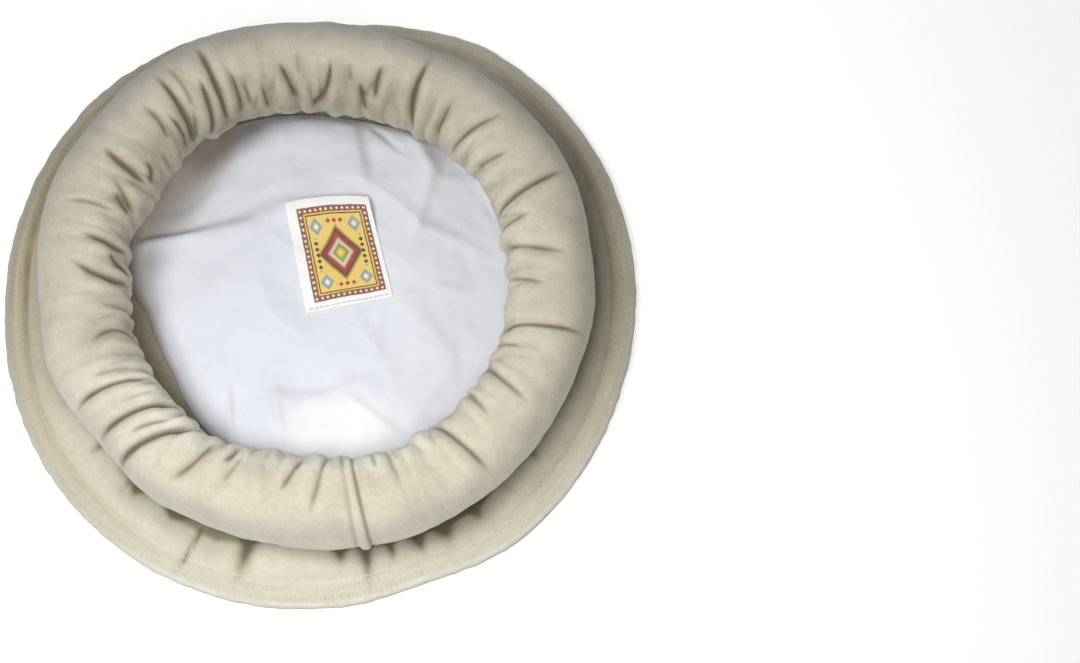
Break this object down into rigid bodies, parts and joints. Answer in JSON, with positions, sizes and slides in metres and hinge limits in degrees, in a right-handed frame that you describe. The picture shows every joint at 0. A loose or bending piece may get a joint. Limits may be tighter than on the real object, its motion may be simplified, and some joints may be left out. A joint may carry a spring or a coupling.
{
  "type": "chitrali cap",
  "caption": "Soft round felt cap with a flat crown and a thick rolled, gathered brim, cotton lining and a small sewn label, lying on its crown with the opening up.",
  "frame": {"origin": "centre of the crown's flat outer face, which the cap lies on", "axes": "+Z out of the opening for the head, -Y towards the raised seam of the roll"},
  "size_m": [0.2969, 0.2863, 0.0544],
  "materials": {
    "cream_felt": "thick cream wool felt, matte and slightly hairy",
    "white_cotton": "plain white cotton weave, matte, softly wrinkled",
    "printed_cotton": "cotton patch with a printed geometric panel"
  },
  "bodies": {
    "root": {"crown_top": "cream_felt", "side_band": "cream_felt", "rolled_brim": "cream_felt", "lining": "white_cotton", "label": "printed_cotton"}
  },
  "joints": []
}
